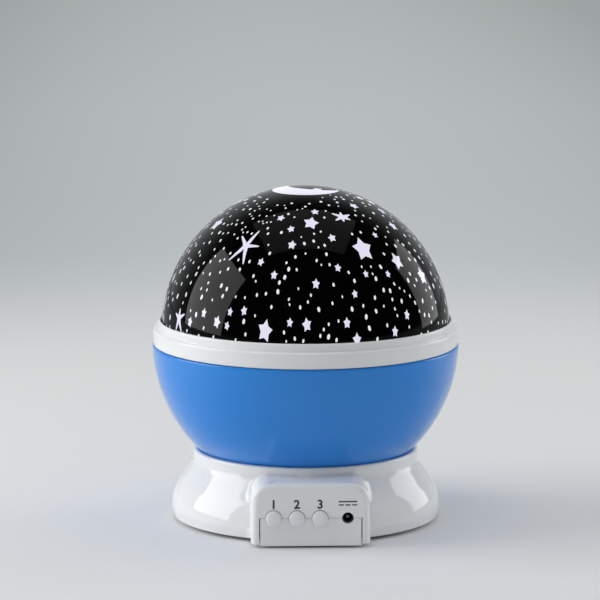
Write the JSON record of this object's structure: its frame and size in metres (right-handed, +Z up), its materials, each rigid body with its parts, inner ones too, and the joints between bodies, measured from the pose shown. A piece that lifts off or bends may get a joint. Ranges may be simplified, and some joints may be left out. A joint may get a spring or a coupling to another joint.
{
  "type": "star night light projector",
  "caption": "Tabletop star projector lamp: a dark dome with star windows and a blue bowl turn together on a flared white base with push buttons, a DC socket and a battery bay.",
  "frame": {"origin": "on the table surface under the middle of the globe, at the underside of the rubber feet", "axes": "+Z up along the globe's turning axis, -Y towards the user and the buttons, +X to the user's right"},
  "size_m": [0.13, 0.1298, 0.142],
  "materials": {
    "white_gloss": "glossy moulded ABS",
    "blue_gloss": "glossy moulded ABS, slightly translucent",
    "dome_black": "deep black gloss print on a clear dome",
    "tray_white": "satin white reflector",
    "button_white": "satin gloss",
    "foot_rubber": "matt elastomer",
    "steel": "zinc plated",
    "contact_nickel": "nickel plated strip",
    "cell_sleeve": "shrunk sleeve",
    "board_green": "solder mask",
    "black_part": "moulded",
    "gear_acetal": "natural acetal",
    "motor_steel": "satin",
    "led_lens": "clear epoxy"
  },
  "bodies": {
    "base": {"base_shell": "white_gloss", "base_plate": "white_gloss", "battery_cells": "cell_sleeve", "spring_contacts": "contact_nickel", "flat_contacts": "contact_nickel", "rubber_feet": "foot_rubber", "base_screws": "steel", "control_board": "board_green", "board_screws": "steel", "push_switches": "black_part", "dc_jack": "black_part", "dc_pin": "contact_nickel", "motor_can": "motor_steel", "motor_gearbox": "black_part", "motor_screws": "steel", "lamp_post": "tray_white", "post_screws": "steel", "thrust_washer": "gear_acetal", "retaining_clip": "steel", "lamp_head": "tray_white", "led_board": "tray_white", "led_red": "led_lens", "led_green": "led_lens", "led_blue": "led_lens", "led_warm": "led_lens"},
    "globe": {"bowl_shell": "blue_gloss", "collar_ring": "white_gloss", "lamp_tray": "tray_white", "tray_screws": "steel", "drive_gear": "gear_acetal", "gear_screws": "steel"},
    "dome": {"star_dome": "dome_black"},
    "pinion": {"motor_pinion": "gear_acetal", "motor_shaft": "steel"},
    "door": {"battery_door": "white_gloss", "door_screw": "steel"},
    "button_1": {"button_1": "button_white", "plunger_1": "black_part"},
    "button_2": {"button_2": "button_white", "plunger_2": "black_part"},
    "button_3": {"button_3": "button_white", "plunger_3": "black_part"}
  },
  "joints": [
    {"name": "globe_spin", "type": "hinge", "parent": "base", "child": "globe", "pos_m": [0, 0, 0.0766], "axis": [0, 0, 1], "continuous": true},
    {"name": "pinion_spin", "type": "hinge", "parent": "base", "child": "pinion", "pos_m": [-0.028, 0, 0.0245], "axis": [0, 0, 1], "continuous": true},
    {"name": "dome_lift", "type": "slide", "parent": "globe", "child": "dome", "axis": [0, 0, 1], "range_m": [0, 0.08]},
    {"name": "door_drop", "type": "slide", "parent": "base", "child": "door", "axis": [0, 0, -1], "range_m": [0, 0.03]},
    {"name": "button_1_press", "type": "slide", "parent": "base", "child": "button_1", "axis": [0, 1, 0], "range_m": [0, 0.0015], "stiffness_N_per_m": 300},
    {"name": "button_2_press", "type": "slide", "parent": "base", "child": "button_2", "axis": [0, 1, 0], "range_m": [0, 0.0015], "stiffness_N_per_m": 300},
    {"name": "button_3_press", "type": "slide", "parent": "base", "child": "button_3", "axis": [0, 1, 0], "range_m": [0, 0.0015], "stiffness_N_per_m": 300}
  ],
  "couplings": [
    {"joint": "pinion_spin", "follows": "globe_spin", "ratio": -4}
  ]
}
